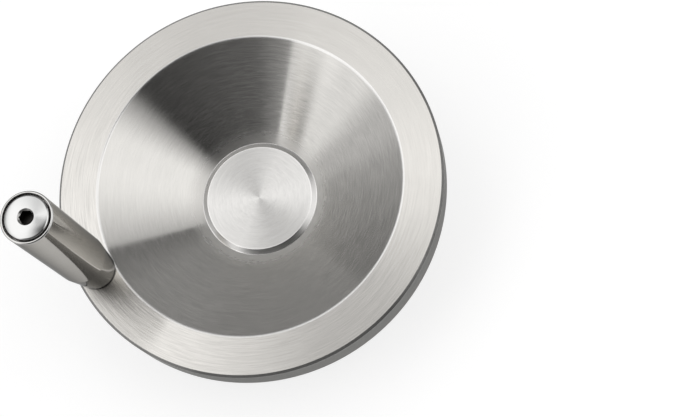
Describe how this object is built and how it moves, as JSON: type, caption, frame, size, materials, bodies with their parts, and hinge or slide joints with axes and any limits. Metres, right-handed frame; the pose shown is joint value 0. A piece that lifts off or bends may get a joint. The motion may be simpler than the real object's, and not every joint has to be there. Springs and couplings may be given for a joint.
{
  "type": "machine handwheel",
  "caption": "Dished disc handwheel turned from stainless steel, with a closed front boss, a blind shaft bore in the rear hub and a revolving cylinder handle on its rim.",
  "frame": {"origin": "on the axis of the shaft bore, in the rear face of the hub", "axes": "+Z along the axis of the wheel, from the rear face of the hub to the front; +X from the axis of the wheel towards the handle"},
  "size_m": [0.2015, 0.2, 0.1591],
  "materials": {
    "turned_steel": "fine turned",
    "grip_steel": "polished",
    "axle_steel": "bright polished",
    "screw_steel": "plain"
  },
  "bodies": {
    "wheel": {"wheel": "turned_steel", "handle_axle": "axle_steel", "hub_set_screw": "screw_steel"},
    "grip": {"grip_sleeve": "grip_steel"}
  },
  "joints": [
    {"name": "grip_spin", "type": "hinge", "parent": "wheel", "child": "grip", "pos_m": [0.089, 0, 0.056], "axis": [0, 0, 1], "continuous": true}
  ]
}
